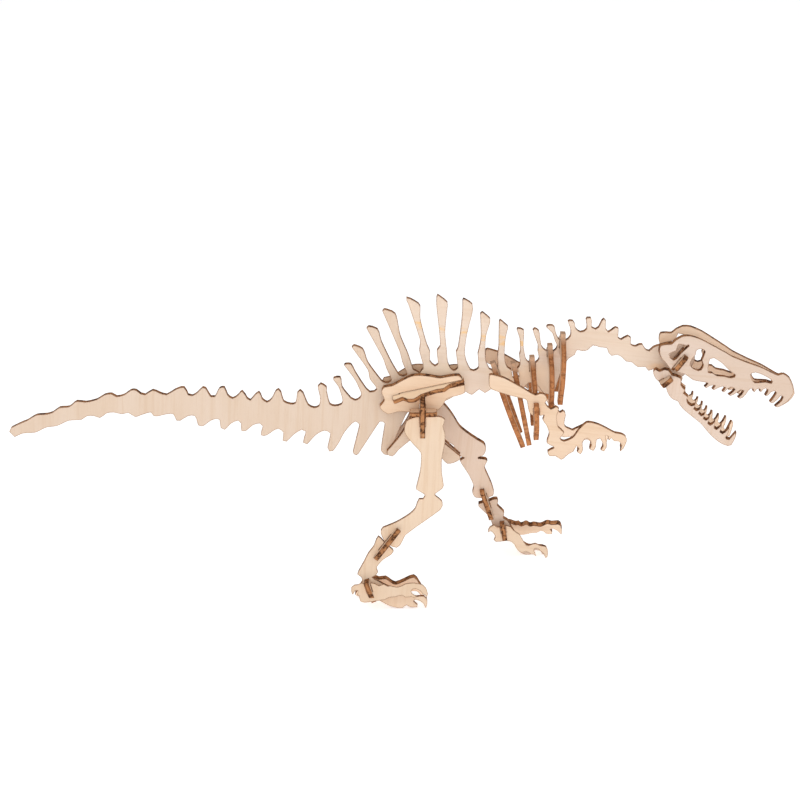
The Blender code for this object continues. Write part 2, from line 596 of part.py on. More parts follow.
# Thigh and shin
LEG_RIGHT = [
    (-5, 6.5), (-1, 7.5), (9, 7.5), (12, 6), (11, 2.5), (12, -1), (12, -6),
    (10.5, -14.5), (10.5, -21), (11.5, -28), (11, -29.5), (7, -32.5),
    (7.5, -33.5), (10.5, -36), (11, -38.5), (10, -40.5), (5.5, -44),
    (-1.5, -49), (-8, -54), (-9, -56), (-10.5, -59), (-12.5, -60.5),
    (-14.5, -60), (-18.5, -57.5), (-19.5, -55.5), (-20.5, -53), (-20.5, -51.5),
    (-19.5, -50), (-12.5, -47), (-6, -43), (-3, -40), (-2, -37), (-1, -35),
    (1, -35), (2, -33.5), (1.5, -32.5), (-2.5, -30), (-2.5, -29), (-0.5, -20.5),
    (0, -14.5), (-0.3, -11), (-5.5, -5), (-8.5, -0.5), (-7.5, 5),
]
LEG_LEFT = [
    (3.5, 7), (8, 7.6), (12, 6), (16.5, -0.5), (20.5, -8), (24.5, -12),
    (30, -16.5), (33.5, -19), (34.5, -22), (34, -25), (33, -26.5), (30.5, -27.5),
    (30.5, -28.5), (34.5, -29), (35.5, -30), (34, -34), (35.5, -38.5),
    (38, -45), (39.5, -50.5), (39, -53), (37, -54), (32, -54.5), (29.5, -54),
    (28, -51), (28.5, -48.5), (28.5, -46), (26, -39.5), (21, -30), (23.5, -28),
    (21.5, -27), (19, -24.5), (17.5, -20), (13.5, -17), (6, -11), (0, -8),
    (-4.5, -3), (-5.5, 2), (-3, 6),
]
# Shank below the ankle, with the middle toe in the same sheet
SHANK_RIGHT = [
    (-21.8, -54.5), (-19, -57.2), (-16, -60), (-14.3, -61.6), (-14, -62.5),
    (-15, -64), (-19.5, -67), (-22.5, -70.5), (-22.5, -72), (-22, -73.5),
    (-23, -75), (-25, -76), (-22, -78), (-17.5, -80.5), (-13.5, -82),
    (-9, -84), (-5, -86), (-2, -86.2), (1.5, -86), (3.1, -87.5), (3.3, -90),
    (2.3, -92.3), (1.5, -90.2), (-0.5, -88.6), (-2.7, -87.8), (-3.8, -88.7),
    (-1.7, -90.6), (-1.9, -91.8), (-5.3, -91.9), (-7.3, -90.8), (-9.5, -92.3),
    (-11.8, -92.3), (-16.5, -91), (-21, -88.5), (-26, -86), (-30, -84),
    (-31.5, -80.5), (-30, -78), (-30.5, -76), (-32.5, -74.5), (-32, -73),
    (-29, -67.5), (-27, -63.5), (-24, -59.5), (-23, -56.5),
]
SHANK_LEFT = [
    (31.5, -58.5), (33, -58), (35, -57.3), (38, -56.2), (39.5, -55.4),
    (41.5, -55.3), (42, -57), (41.5, -59.5), (45.5, -64.5), (45, -68),
    (47.6, -70), (49.6, -74.5), (52.6, -80), (55.8, -84.6), (59.6, -87.6),
    (67, -88), (69.4, -89.2), (70, -91.2), (69, -93.4), (67.3, -92.9),
    (66, -90.7), (62.5, -90.5), (61.2, -93.0), (60.2, -93.4), (58, -93.4),
    (55, -91.8), (50.5, -84.5), (47, -82), (42.5, -81), (40, -76),
    (39, -71.5), (38, -68.5), (37, -66.5), (33.5, -62.5), (31.5, -60),
]
right_plane = lengthwise(0, -LEG_Y, LEG_Z, tilt=-RIGHT_SPLAY)
left_plane = lengthwise(0, LEG_Y, LEG_Z, tilt=LEFT_SPLAY)

leg_right = sheet("thigh_and_shin_right", [ring(LEG_RIGHT)], right_plane, "pale")
leg_left = sheet("thigh_and_shin_left", [ring(LEG_LEFT)], left_plane, "shade")
for leg, sign in ((leg_right, -1), (leg_left, 1)):
    lap(leg, hip_cross, (HIP_X, sign * LEG_Y, LEG_LAP_Z), UP,
        first_cut=8, second_cut=9)

shank_right = sheet("shank_and_middle_toe_right", [ring(SHANK_RIGHT)],
                    right_plane, "pale")
shank_left = sheet("shank_and_middle_toe_left", [ring(SHANK_LEFT)],
                   left_plane, "shade")


def joiner(side, leg, shank, top, end, leg_lap, shank_lap):
    """Strip that crosses a leg and its shank and locks the two in line. Its
    ends and laps are points on the leg's drawing."""
    top, end = Vector((*top, 0)), Vector((*end, 0))
    along = (end - top).normalized()
    across = Vector((0, 0, 1))
    turn = Matrix((along, across, along.cross(across))).transposed().to_4x4()
    place = leg.matrix @ Matrix.Translation((top + end) / 2) @ turn
    half = (end - top).length / 2
    strip = sheet("ankle_joiner_" + side,
                  [clipped_rectangle(-half, half, -JOINER_HALF_WIDTH,
                                     JOINER_HALF_WIDTH, JOINER_CLIP)],
                  place, "warm")
    down = place.to_3x3() @ Vector((1, 0, 0))
    lap(leg, strip, leg.point(*leg_lap), down, first_cut=12, second_cut=12)
    lap(shank, strip, leg.point(*shank_lap), -down, first_cut=12, second_cut=12)


joiner("right", leg_right, shank_right, top=(-11.4, -50.7), end=(-23.2, -66.0),
       leg_lap=(-14.3, -54.4), shank_lap=(-20.3, -62.3))
joiner("left", leg_left, shank_left, top=(33.0, -48.2), end=(38.6, -67.2),
       leg_lap=(34.3, -51.6), shank_lap=(36.9, -61.5))

# --------------------------------------------------------------------- feet
# Toes: x forward, y up the leaning sheet.
RIGHT_TOES_X = -20
LEFT_TOES_X = 45
STRIP_CLIP = 0.8         # cut corners of the cross strips

OUTER_TOE_RIGHT = [
    (-10.5, 7), (-8.5, 6.5), (-6.5, 7), (-3.5, 6.6), (-1.5, 5.5), (1, 6.4),
    (3, 5.3), (4.5, 5.5), (7.5, 4.8), (10, 5.4), (12, 6.5), (16.5, 7),
    (21, 6), (22.5, 4.5), (23.5, 1.5), (23, -0.5), (22.4, 0.5), (21, 1.2),
    (19.5, 3), (17.5, 4), (16, 3.9), (15, 3), (15.4, 1.7), (16.5, 0.9),
    (18, 0.4), (16.5, -0.6), (15, 0), (12, -0.4), (10.5, 0.6), (9, 0.5),
    (7, -0.1), (4, -0.4), (1.5, -1.6), (-3, -2.2), (-5, -2.6), (-8.5, -3),
    (-11, -2.3), (-11.5, 0.5), (-12.6, 0.8), (-12, 3), (-13.5, 3.1),
    (-15, 1), (-15.5, 4.8), (-14, 6), (-12, 6.2),
]
INNER_TOE_RIGHT = [
    (-8, 7.0), (-5, 7.5), (-1.5, 5.5), (2, 6), (4.5, 3.5), (7, 1.8), (11, 4),
    (16.5, 7), (19, 3), (21, -2), (20.8, -6.5), (18.5, -3.5), (15.5, -3),
    (13.5, -5.5), (9.5, -7), (5, -7.3), (0, -7.9), (-6, -8.02), (-8.2, -8.02),
    (-11.5, -7.4), (-14, -5.5), (-11, 0),
]
INNER_TOE_LEFT = [
    (-8, 8.5), (-8, 10), (-7, 11.6), (-5, 12.5), (-3, 11.3), (-0.5, 11.8),
    (2, 12.2), (4, 11.5), (5.5, 9.7), (7, 8.6), (9, 7.3), (10, 5.5),
    (11.5, 3), (12.6, 1.5), (14, 1.3), (15.5, 2), (17.5, 2.5), (18.5, 2.1),
    (20, 1.3), (21.5, 1.1), (23, 0.8), (24, -0.5), (24.2, -2.5), (24, -4.8),
    (23, -5.6), (22.5, -4.5), (22, -3), (21, -2.4), (19.5, -1), (18.5, -0.2),
    (17.3, -0.3), (16.6, -1), (17.3, -2.5), (18, -4.6), (16.5, -3.6),
    (15, -3.4), (13.9, -2.5), (12.5, -1.9), (10.3, -2.5), (8.7, -2), (7, 0),
    (6, 2), (4.5, 3.3), (2, 3.9), (-0.5, 3.6), (-4, 3.4), (-5, 4.3),
    (-4.2, 6.1), (-5, 7.6), (-6, 8.8), (-7, 9.2),
]
OUTER_TOE_LEFT = [
    (-3.5, 5), (0, 7.6), (4, 7.8), (6, 5.5), (7.5, 4), (9, 5), (10.6, 1.5),
    (12.5, 5), (13.7, 4.8), (15.6, 1.2), (17, 3), (18.7, 2.4), (21, 1),
    (22.5, 3), (24.5, 6.5), (27, 4.5), (29, 5), (30.5, 5.5), (32, 2.5),
    (33.5, -6), (34, -15), (33, -12.5), (31, -7), (28, -2.7), (26.7, -3.8),
    (28.5, -10), (28.4, -14), (26.5, -14.3), (25, -12.3), (23.5, -8.6),
    (22, -7.2), (21, -9.4), (20, -11.3), (17, -11.7), (15, -13.8),
    (12.5, -15.3), (10.5, -15.6), (7, -15.5), (2, -14), (-2, -10), (-4, -4),
]
outer_right = sheet("outer_toe_right", [ring(OUTER_TOE_RIGHT)],
                    lengthwise(RIGHT_TOES_X, -34.0, 8.5, tilt=-22), "pale")
inner_right = sheet("inner_toe_right", [ring(INNER_TOE_RIGHT)],
                    lengthwise(RIGHT_TOES_X, -20, 8, tilt=20), "warm")
inner_left = sheet("inner_toe_left", [ring(INNER_TOE_LEFT)],
                   lengthwise(LEFT_TOES_X, 24.0, 9.1, tilt=-15), "pale")
outer_left = sheet("outer_toe_left", [ring(OUTER_TOE_LEFT)],
                   lengthwise(LEFT_TOES_X, 39.5, 15.5, tilt=50), "shade")


def foot_strip(side, outline, place, crossings):
    """Strip across the toes; a crossing is a sheet, its lap and its opening."""
    strip = sheet("foot_cross_strip_" + side, [outline], place, "warm")
    for piece, near, opens in crossings:
        lap(piece, strip, near, opens)


foot_strip("right",
           clipped_rectangle(-8.7, 9.4, bottom=-5.8, top=5.6, clip=STRIP_CLIP),
           crosswise(-25.9, -27.0, 10.5, lean=-19.5),
           ((outer_right, (-26, -33.2, 10.5), UP),
            (shank_right, (-26, -27.8, 10.2), -UP),
            (inner_right, (-26, -20.8, 10.2), UP)))
foot_strip("left",
           clipped_rectangle(-10.3, 8.7, bottom=-5.2, top=5.0, clip=STRIP_CLIP),
           crosswise(45.2, 33.6, 17.9, lean=-10.4),
           ((inner_left, (45.2, 26.2, 17.2), UP),
            (shank_left, (45.2, 31.4, 17.0), -UP),
            (outer_left, (45.2, 39.5, 16.6), UP)))

# ------------------------------------------------------------ skull and jaw
SKULL_Y = 7.4            # half spacing of the skull sides at SKULL_X
SKULL_X, SKULL_Z = 136.0, 129.4
SKULL_YAW = 6.3          # the sides close towards the snout
SKULL_STAGGER = 2.3      # the left side of the skull sits further forward
SKULL_NOD = 2.0          # and its snout a little lower
SKULL_LAP_Y = 10
SKULL_LAP_RISE = 3.3     # up the cross plate from its origin
JAW_Y = 11.7             # half spacing of the jaw sides at JAW_X, JAW_Z
JAW_X, JAW_Z = 141.0, 118.0
JAW_SPREAD = 12.0        # the jaw sides open towards the chin
JAW_LEAN = 14.0          # and their teeth lean outwards
JAW_STAGGER = 0.8        # the left side sits further forward
JAW_LAP_Y = 7
SKULL_CROSS_X, SKULL_CROSS_Z, SKULL_CROSS_LEAN = 128.9, 125.2, 36.9
JAW_CROSS_X, JAW_CROSS_Z, JAW_CROSS_LEAN = 123.0, 116.8, 51.0

# Sides: x towards the snout, y up
SKULL = [
    (-17.5, 4.5), (-17, 6), (-14, 6.5), (-11.5, 6.5), (-9.5, 8.5), (-6, 10.5),
    (-2, 10.5), (3.5, 8.5), (10.5, 4.6), (17, 0.8), (20, -1.1), (28, -4.6),
    (35, -7.3), (42, -10.9), (44.5, -12), (47, -11.3), (50, -13.3),
    (52.3, -17.5), (53.3, -21.4), (52.5, -23.5), (50.6, -26.1), (47.8, -28.3),
    (45.5, -29.3), (44.2, -28.8),
    # teeth, hooked back, from the snout towards the cheek
    (47.3, -25.9), (48.1, -23.7), (46.7, -22.9), (45.3, -24.8), (43.6, -26.4),
    (42.4, -26.9), (41.4, -26.4), (43.1, -23.8), (44.3, -21.4), (43.3, -20.3),
    (41.4, -20.9), (40.6, -22), (39.5, -22.9), (38.6, -22.7), (39.6, -21),
    (39.8, -19.5), (38.4, -18.7), (37.2, -19.3), (36.3, -20.6), (35.6, -20.4),
    (35.7, -19.2), (34.7, -18.7), (33.6, -19.2), (32.9, -20.5), (32.2, -20.2),
    (32.1, -18.8), (30.8, -18.5), (29.7, -19.5), (28.3, -21.7), (27, -23.2),
    (25.6, -23.8), (24.5, -23.3), (26.4, -21.4), (27.3, -19.6), (25.5, -19),
    (24.1, -20), (22.4, -21.3), (20.4, -22.1), (19.5, -21.6), (21.4, -20.2),
    (22.7, -18.7), (21.8, -17.8), (20.3, -17.4), (18.6, -18.3), (17, -20.1),
    (16.2, -19.7), (17, -18.6), (17.6, -17.5), (15.9, -16.8), (13.6, -17.6),
    (11.6, -18.7), (10.9, -18.2), (11.7, -17.2), (12.3, -16.1), (9.5, -16.2),
    (7.6, -17.4), (6.8, -16.8), (7.8, -15.8), (8.5, -14.8), (6, -14.1),
    (3.5, -13.6), (0.5, -12.8), (-3.5, -9.8), (-7, -8.6),
    (-10.4, -7.5), (-12.5, -5.3), (-14.2, -3), (-16.3, -0.6), (-17.5, 2.4),
]
# From the back of the skull to the snout
SKULL_HOLES = [
    [(-12.5, 1.5), (-10, -2), (-6.5, 1.5), (-2.5, 5.3), (-2.8, 6), (-4, 5.5),
     (-8, 6.5), (-9, 3)],
    [(1.5, 3), (4, 3.5), (6, 2), (4.5, -2.5), (5.5, -5), (4.5, -7.5), (3, -8),
     (0, -6.5), (-1.5, -4.5), (-0.5, -1.5), (1, 0.5)],
    [(8.5, -2), (10.5, -1.5), (15, -4.5), (18.5, -8), (22.3, -11), (22, -12),
     (20, -12.5), (16.5, -11.5), (12.5, -11), (10.5, -9.5), (8, -9)],
    [(30, -11), (32.5, -10), (36.5, -11.5), (40, -13.5), (41.8, -15.3),
     (41.3, -16.3), (38.5, -15.5), (32.5, -15.5), (31, -13.5)],
]
JAW = [
    (-24.8, 3.6), (-23.7, 4.8), (-21.6, 3.6), (-19.2, 5), (-17.2, 4.7),
    (-16.2, 3.3), (-15.3, 2), (-13, 1.4), (-10.9, 0.5), (-10.6, -1.3),
    (-10.8, -3.2), (-9.6, -5.3), (-8.4, -6.2), (-9.3, -8.3), (-7, -10.3),
    # teeth, from the hinge to the chin
    (-7.5, -12.2), (-6.7, -14.5), (-5.1, -15.7), (-3.5, -15.1),
    (-2.9, -13.4), (-3, -15.3), (-3.8, -17.3), (-2.3, -18.5), (-1, -17.7),
    (-0.3, -16.4), (-0.5, -18.1), (-1.3, -20), (0.2, -21.4), (1.5, -20.6),
    (2, -18.9), (1.9, -20.6), (1.2, -22.9), (2.6, -23.9), (3.6, -23.2),
    (4.4, -21.4), (4.3, -23.2), (3.6, -25.6), (4.9, -26.7), (6.2, -25.7),
    (7.1, -23.9), (7.2, -25.8), (6.9, -28.3), (8.2, -29.1), (9.5, -27.8),
    (10.6, -25.9), (10.6, -28), (9.9, -30.3), (11.2, -31.4), (12.6, -30.3),
    (13.9, -28.4), (14.5, -27.3), (14.5, -29.3), (13.7, -31.8),
    (12.9, -33.4), (13.4, -34.4), (14.8, -34.7), (16, -32.7), (17, -31),
    (17.6, -30), (18.2, -31.3), (17.7, -33.7), (16.7, -36.5), (16.1, -38),
    (14.4, -38.6), (11.8, -37.8), (9.5, -36.4), (6.2, -33.5), (3.5, -30.3),
    (0.1, -25.9), (-4.9, -21.6), (-8.5, -18.4), (-10.8, -15.5),
    (-11.8, -13.4), (-14.4, -12.4), (-16.1, -10.6), (-17.4, -8), (-18, -5.8),
    (-19.3, -4), (-21.4, -2.6), (-23.5, -0.5), (-24.6, 2),
]
# Cross plates: x to the left, y up the leaning plate
SKULL_CROSS = [
    (11.9, 0.5), (11.7, 4.6), (10.6, 5.8), (-10.6, 5.8), (-11.7, 4.6),
    (-11.9, 0.5), (-11.9, -2.2), (-11.1, -3.0), (-6.8, -3.4), (-5.4, -4.9),
    (5.4, -4.9), (6.8, -3.4), (11.1, -3.0), (11.9, -2.2),
]
JAW_CROSS = [
    (13.8, 0.6), (13.4, 2.2), (12.4, 3.0), (-12.4, 3.0), (-13.4, 2.2),
    (-13.8, 0.6), (-14.0, -2.2), (-13.0, -3.3), (13.0, -3.3), (14.0, -2.2),
]
skull_up = slope(SKULL_CROSS_LEAN)
jaw_up = slope(JAW_CROSS_LEAN)
skull_cross = sheet("skull_cross_plate", [SKULL_CROSS],
                    crosswise(SKULL_CROSS_X, 0, SKULL_CROSS_Z, SKULL_CROSS_LEAN),
                    "warm")
jaw_cross = sheet("jaw_cross_plate", [JAW_CROSS],
                  crosswise(JAW_CROSS_X, 0, JAW_CROSS_Z, JAW_CROSS_LEAN), "warm")
lap(trunk, skull_cross, (SKULL_CROSS_X, 0, SKULL_CROSS_Z), skull_up,
    first_cut=16, second_cut=8)
lap(trunk, jaw_cross, (JAW_CROSS_X, 0, JAW_CROSS_Z), -jaw_up,
    first_cut=9, second_cut=6)


def skull_side(side, sign, tone):
    forward, nod = (SKULL_STAGGER, SKULL_NOD) if sign > 0 else (0, 0)
    skull = sheet("skull_" + side,
                  [ring(SKULL, TEETH_EASE)] + [ring(hole) for hole in SKULL_HOLES],
                  lengthwise(SKULL_X + forward, sign * SKULL_Y, SKULL_Z,
                             nod=nod, yaw=-sign * SKULL_YAW), tone)
    near = (Vector((SKULL_CROSS_X, sign * SKULL_LAP_Y, SKULL_CROSS_Z))
            + SKULL_LAP_RISE * skull_up)
    lap(skull, skull_cross, near, -skull_up, first_cut=12, second_cut=6)


def jaw_side(side, sign, tone):
    forward = JAW_STAGGER if sign > 0 else 0
    jaw = sheet("jaw_" + side, [ring(JAW, TEETH_EASE)],
                lengthwise(JAW_X + forward, sign * JAW_Y, JAW_Z,
                           tilt=-sign * JAW_LEAN, yaw=sign * JAW_SPREAD), tone)
    lap(jaw, jaw_cross, (JAW_CROSS_X, sign * JAW_LAP_Y, JAW_CROSS_Z), -jaw_up,
        first_cut=8, second_cut=6)


for side, sign in SIDES:
    side_tone = "pale" if sign < 0 else "shade"
    skull_side(side, sign, side_tone)
    jaw_side(side, sign, side_tone)

bpy.context.view_layer.update()
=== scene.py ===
# A dinosaur skeleton assembled from flat, laser-cut plywood sheets.
# The backbone runs along X with the skull towards +X, Z is up, and the camera looks
# from -Y. Geometry is in metres; sheet textures are laid out in millimetres.
import bpy
from math import radians, sin, cos
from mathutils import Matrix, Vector
import numpy as np


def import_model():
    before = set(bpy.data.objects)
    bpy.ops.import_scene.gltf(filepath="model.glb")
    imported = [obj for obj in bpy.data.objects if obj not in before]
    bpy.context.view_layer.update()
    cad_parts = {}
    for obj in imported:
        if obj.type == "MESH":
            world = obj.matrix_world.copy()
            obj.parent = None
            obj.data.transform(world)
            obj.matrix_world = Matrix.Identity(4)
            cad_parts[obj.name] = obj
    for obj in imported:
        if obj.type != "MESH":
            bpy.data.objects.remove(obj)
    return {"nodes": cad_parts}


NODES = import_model()["nodes"]
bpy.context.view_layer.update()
scene = bpy.context.scene

MM = 0.001           # metres in a millimetre
MM_PER_M = 1000

# Veneer tones, linear RGB. Some are lit or shaded copies of one plywood: painted light and
# painted shade.
PALE = (0.725, 0.578, 0.464)
BONE = (0.700, 0.556, 0.462)
RUMP = (0.790, 0.645, 0.535)
WARM = (0.790, 0.590, 0.432)
# honey tone of the fins, brightened with painted light where their faces turn up towards the
# lamps
HONEY_AND_TOPLIGHT_TONE = (0.990, 0.785, 0.580)
# painted shade: a darker copy of the plywood for the far (left) leg and hip pieces
PAINTED_SHADE_TONE = (0.700, 0.545, 0.442)
# painted shade: a still darker copy for the far shank and its toe
DEEPER_PAINTED_SHADE_TONE = (0.640, 0.502, 0.410)
STRAW = (0.800, 0.618, 0.462)
# painted light: a brighter copy of the plywood for far and tucked-away pieces, lifting the
# shadow that falls on them
LIT = (0.960, 0.750, 0.580)

# Grain directions, projected onto each sheet
GRAIN_UP = Vector((0.05, 0, 1))
GRAIN_ALONG = Vector((1, 0, -0.12))
GRAIN_FIN = Vector((1, 0, 0.25))
GRAIN_CROSS = Vector((0, 1, 0.1))

# Piece: (grain direction, veneer tone); some pieces get a tone with painted shade or painted
# light
LOOKS = {
    "spine_tail": (GRAIN_UP, PALE),
    "spine_trunk_and_neck": (GRAIN_ALONG, RUMP),
    "thigh_and_shin_right": (GRAIN_UP, STRAW),
    "thigh_and_shin_left": (GRAIN_UP, PAINTED_SHADE_TONE),
    "shank_and_middle_toe_right": (GRAIN_UP, STRAW),
    "shank_and_middle_toe_left": (GRAIN_ALONG, DEEPER_PAINTED_SHADE_TONE),
    "ilium_right": (GRAIN_ALONG, WARM),
    "ilium_left": (GRAIN_ALONG, WARM),
    "ilium_fin_right": (GRAIN_FIN, HONEY_AND_TOPLIGHT_TONE),
    "ilium_fin_left": (GRAIN_FIN, HONEY_AND_TOPLIGHT_TONE),
    "shoulder_and_arm_right": (GRAIN_ALONG, WARM),
    "shoulder_and_arm_left": (GRAIN_ALONG, LIT),
    "ischium_and_pubis_right": (GRAIN_ALONG, PALE),
    "ischium_and_pubis_left": (GRAIN_ALONG, PAINTED_SHADE_TONE),
    "skull_right": (GRAIN_ALONG, BONE),
    "skull_left": (GRAIN_ALONG, LIT),
    "jaw_right": (GRAIN_UP, BONE),
    "jaw_left": (GRAIN_UP, LIT),
    "outer_toe_right": (GRAIN_UP, STRAW),
    "inner_toe_right": (GRAIN_ALONG, LIT),
    "inner_toe_left": (GRAIN_ALONG, STRAW),
    "outer_toe_left": (GRAIN_ALONG, STRAW),
}
OTHER_LOOK = (GRAIN_CROSS, WARM)
SEED_STEP = 37.7     # distance in noise space between one sheet and the next


# ------------------------------------------------------ where each sheet lies
LARGEST = 24         # biggest triangles, tried as directions for the broad faces
PARALLEL = 0.98      # cosine above which a triangle counts as lying in a broad face


def sheet_plane(piece):
    """Unit normal of a sheet, and the offset of its middle plane in mm."""
    mesh = piece.data
    mesh.calc_loop_triangles()
    points = np.array([v.co[:] for v in mesh.vertices], float)
    corners = np.array([t.vertices[:] for t in mesh.loop_triangles], int)
    first, second, third = (points[corners[:, i]] for i in range(3))
    cross = np.cross(second - first, third - first)
    areas = np.linalg.norm(cross, axis=1) / 2
    normals = cross / np.maximum(areas[:, None] * 2, 1e-15)

    # the two broad faces hold most of the area: average their direction
    candidates = normals[np.argsort(-areas)[:LARGEST]]
    axis = max(candidates, key=lambda c: areas[np.abs(normals @ c) > PARALLEL].sum())
    for _ in range(3):
        cosines = normals @ axis
        weights = areas * (np.abs(cosines) > PARALLEL)
        axis = (normals * (weights * np.sign(cosines))[:, None]).sum(0)
        axis /= np.linalg.norm(axis)
    if axis[np.argmax(np.abs(axis))] < 0:
        axis = -axis
    offsets = points @ axis
    return Vector(axis), (offsets.min() + offsets.max()) / 2 * MM_PER_M


# ------------------------------------------------------------- shader helpers
class Net:
    """Adds and links shader nodes; each input may be a socket or a plain value."""

    def __init__(self, tree):
        self.tree = tree

    def put(self, socket, value):
        if isinstance(value, bpy.types.NodeSocket):
            self.tree.links.new(value, socket)
        else:
            socket.default_value = value

    def add(self, kind, inputs=None, **props):
        node = self.tree.nodes.new(kind)
        for key, value in props.items():
            setattr(node, key, value)
        for key, value in (inputs or {}).items():
            self.put(node.inputs[key], value)
        return node

    def math(self, operation, a, b=0.0, c=0.0):
        node = self.add('ShaderNodeMath', {0: a, 1: b, 2: c}, operation=operation)
        return node.outputs[0]

    def multiply(self, a, b):
        return self.math('MULTIPLY', a, b)

    def scale_add(self, value, times, plus):
        return self.math('MULTIPLY_ADD', value, times, plus)

    def vector(self, operation, a, b=(0, 0, 0)):
        node = self.add('ShaderNodeVectorMath', {0: a, 1: b}, operation=operation)
        scalar = operation in ('DOT_PRODUCT', 'LENGTH')
        return node.outputs['Value' if scalar else 0]

    def ramp(self, value, span, to=(0.0, 1.0)):
        """Smooth step across span; a falling span reverses the step."""
        node = self.add('ShaderNodeMapRange',
                        {'Value': value, 'From Min': span[0], 'From Max': span[1],
                         'To Min': to[0], 'To Max': to[1]},
                        clamp=True, interpolation_type='SMOOTHSTEP')
        return node.outputs['Result']

    def mix(self, factor, a, b):
        node = self.add('ShaderNodeMix', data_type='RGBA', blend_type='MIX',
                        clamp_factor=True)
        self.put(node.inputs[0], factor)
        for slot, colour in ((6, a), (7, b)):
            self.put(node.inputs[slot], (*colour, 1.0) if isinstance(colour, tuple) else colour)
        return node.outputs[2]

    def tint(self, base, mask, strength, colour):
        """Lay a colour over the base where mask times strength is high."""
        return self.mix(self.multiply(mask, strength), base, colour)


class Sheet(Net):
    """Shader net with coordinates that follow one sheet's plane and grain."""

    def __init__(self, tree, piece, grain, seed):
        super().__init__(tree)
        normal, middle = sheet_plane(piece)
        grain = (grain - normal * grain.dot(normal)).normalized()
        self.normal = tuple(normal)
        self.seed = seed
        coord = self.add('ShaderNodeTexCoord')
        self.place = self.vector('MULTIPLY', coord.outputs['Object'], (MM_PER_M,) * 3)
        self.along = self.vector('DOT_PRODUCT', self.place, tuple(grain))
        self.across = self.vector('DOT_PRODUCT', self.place, tuple(normal.cross(grain)))
        height = self.vector('DOT_PRODUCT', self.place, self.normal)
        self.depth = self.math('SUBTRACT', height, middle)    # mm from the middle plane

    def noise(self, along, across, detail, rough, through=0.0, shift=0.0, distortion=0.0):
        """Noise with its frequency per mm along and across the grain, and in depth."""
        where = self.add('ShaderNodeCombineXYZ', {
            'X': self.multiply(self.along, along),
            'Y': self.multiply(self.across, across),
            'Z': self.scale_add(self.depth, times=through, plus=self.seed + shift)})
        node = self.add('ShaderNodeTexNoise', {
            'Vector': where.outputs[0], 'Scale': 1.0, 'Detail': detail,
            'Roughness': rough, 'Distortion': distortion})
        return node.outputs['Fac']

    def facing(self, normal):
        """1 where a normal is square to the sheet, 0 where it lies in its plane."""
        return self.math('ABSOLUTE', self.vector('DOT_PRODUCT', normal, self.normal))

    def near_cut(self, radius, span):
        """Mask of the band beside every cut, from the normal of a rounded corner."""
        bevel = self.add('ShaderNodeBevel', {'Radius': radius}, samples=6)
        return self.ramp(self.facing(bevel.outputs[0]), span=span)

    def split_place(self):
        return self.add('ShaderNodeSeparateXYZ', {'Vector': self.place}).outputs


# ------------------------------------------------------------ plywood colours
def shade(tone, factors):
    return tuple(min(1, t * f) for t, f in zip(tone, factors))


def veneer(net, tone):
    """Pale grained faces; also returns the fibre and pore patterns."""
    broad = net.noise(along=0.012, across=0.045, detail=3.0, rough=0.5, distortion=0.6)
    bands = net.noise(along=0.02, across=0.55, shift=11.0, detail=3.0, rough=0.6,
                      distortion=0.25)
    fibre = net.noise(along=0.10, across=4.2, shift=23.0, detail=2.0, rough=0.6,
                      distortion=0.1)
    pores = net.noise(along=0.45, across=7.5, shift=31.0, detail=1.0, rough=0.5)
    face = net.mix(net.ramp(broad, span=(0.30, 0.70)), tone,
                   shade(tone, (0.965, 0.93, 0.885)))
    # pattern, span of its ramp, strength, factors on the tone
    for pattern, span, strength, factors in (
            (bands, (0.48, 0.66), 0.55, (0.91, 0.845, 0.76)),
            (fibre, (0.50, 0.72), 0.35, (0.90, 0.83, 0.74)),
            (pores, (0.66, 0.78), 0.45, (0.74, 0.62, 0.50)),
            (broad, (0.62, 0.80), 0.45, (1.05, 1.07, 1.10))):
        face = net.tint(face, net.ramp(pattern, span=span), strength, shade(tone, factors))
    return face, fibre, pores


def trunk_marks(net, face):
    """Mineral streak, painted light where the ribs and ilia shade it, and throat stain of the
    trunk sheet.
    """
    place = net.split_place()
    x, z = place['X'], place['Z']

    # the wavy streak crosses the back spines on the line z = 145.5 - 0.2 x
    above = net.math('ADD', z, net.scale_add(x, times=0.2, plus=-145.5))
    wobble = net.noise(along=0.10, across=0.35, shift=61.0, detail=3.0, rough=0.6)
    above = net.math('ADD', above, net.scale_add(wobble, times=9.0, plus=-4.5))
    streak = net.ramp(net.math('ABSOLUTE', above), span=(2.4, 0.5))
    patches = net.noise(along=0.16, across=0.6, shift=71.0, detail=3.0, rough=0.6)
    patches = net.ramp(patches, span=(0.36, 0.62))
    reach = net.ramp(x, span=(78.0, 62.0))
    streak = net.multiply(net.multiply(streak, patches), reach)
    face = net.tint(face, streak, strength=0.85, colour=(0.86, 0.54, 0.24))

    # painted light: the sheet is made lighter and warmer where the ribs and the ilia stand in
    # front of it and shade it
    painted_light_mask = net.multiply(net.ramp(x, span=(40.0, 54.0)), net.ramp(x, span=(84.0, 70.0)))
    painted_light_mask = net.math('MAXIMUM', painted_light_mask, net.ramp(x, span=(36.0, 24.0)))
    painted_light_mask = net.multiply(painted_light_mask, net.ramp(z, span=(127.0, 117.0)))
    face = net.tint(face, painted_light_mask, strength=0.80, colour=(1.0, 0.83, 0.64))

    throat_centre = (129.0, -8.0, 121.3)
    throat_falloff = (0.16, 0.0, 0.42)      # per mm on each axis
    throat = net.vector('SUBTRACT', net.place, throat_centre)
    throat = net.vector('MULTIPLY', throat, throat_falloff)
    spot = net.ramp(net.vector('LENGTH', throat), span=(1.0, 0.2))
    return net.tint(face, spot, strength=0.5, colour=(0.82, 0.52, 0.28))


